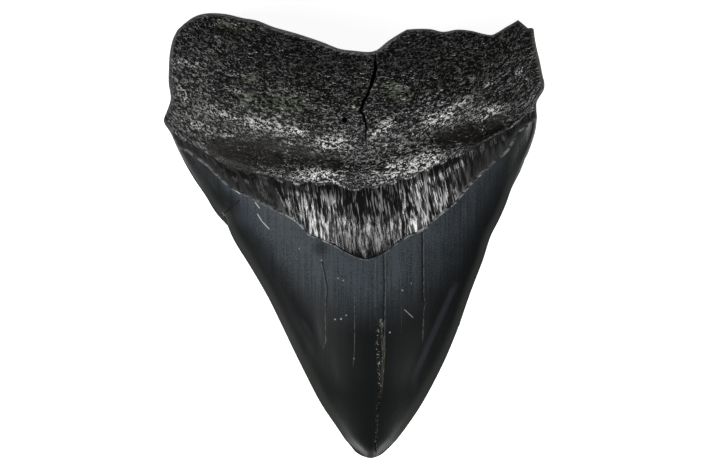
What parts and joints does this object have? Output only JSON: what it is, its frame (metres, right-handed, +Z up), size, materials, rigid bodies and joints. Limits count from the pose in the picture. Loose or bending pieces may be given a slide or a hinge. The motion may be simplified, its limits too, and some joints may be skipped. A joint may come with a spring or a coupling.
{
  "type": "fossil megalodon tooth",
  "caption": "Large triangular fossil shark tooth with a black enamel crown, a striated bourlette and a thick, grainy, chipped root, lying on its flatter outer face.",
  "frame": {"origin": "middle of the footprint on the resting plane: the middle of the bounding box in X and Y, its lowest level in Z", "axes": "the tooth lies on its outer face; -Y towards the crown's tip, +Y towards the root, +X to the right as seen from above, +Z up, out of the inner face that carries the bourlette"},
  "size_m": [0.1026, 0.12, 0.0262],
  "materials": {
    "fossil_enamel_and_bone": "near-black mineralised tooth: glossy blue-grey enamel, glossy striated bourlette, fine-grained satin root with olive sediment in its hollows"
  },
  "bodies": {
    "root": {"tooth": "fossil_enamel_and_bone"}
  },
  "joints": []
}
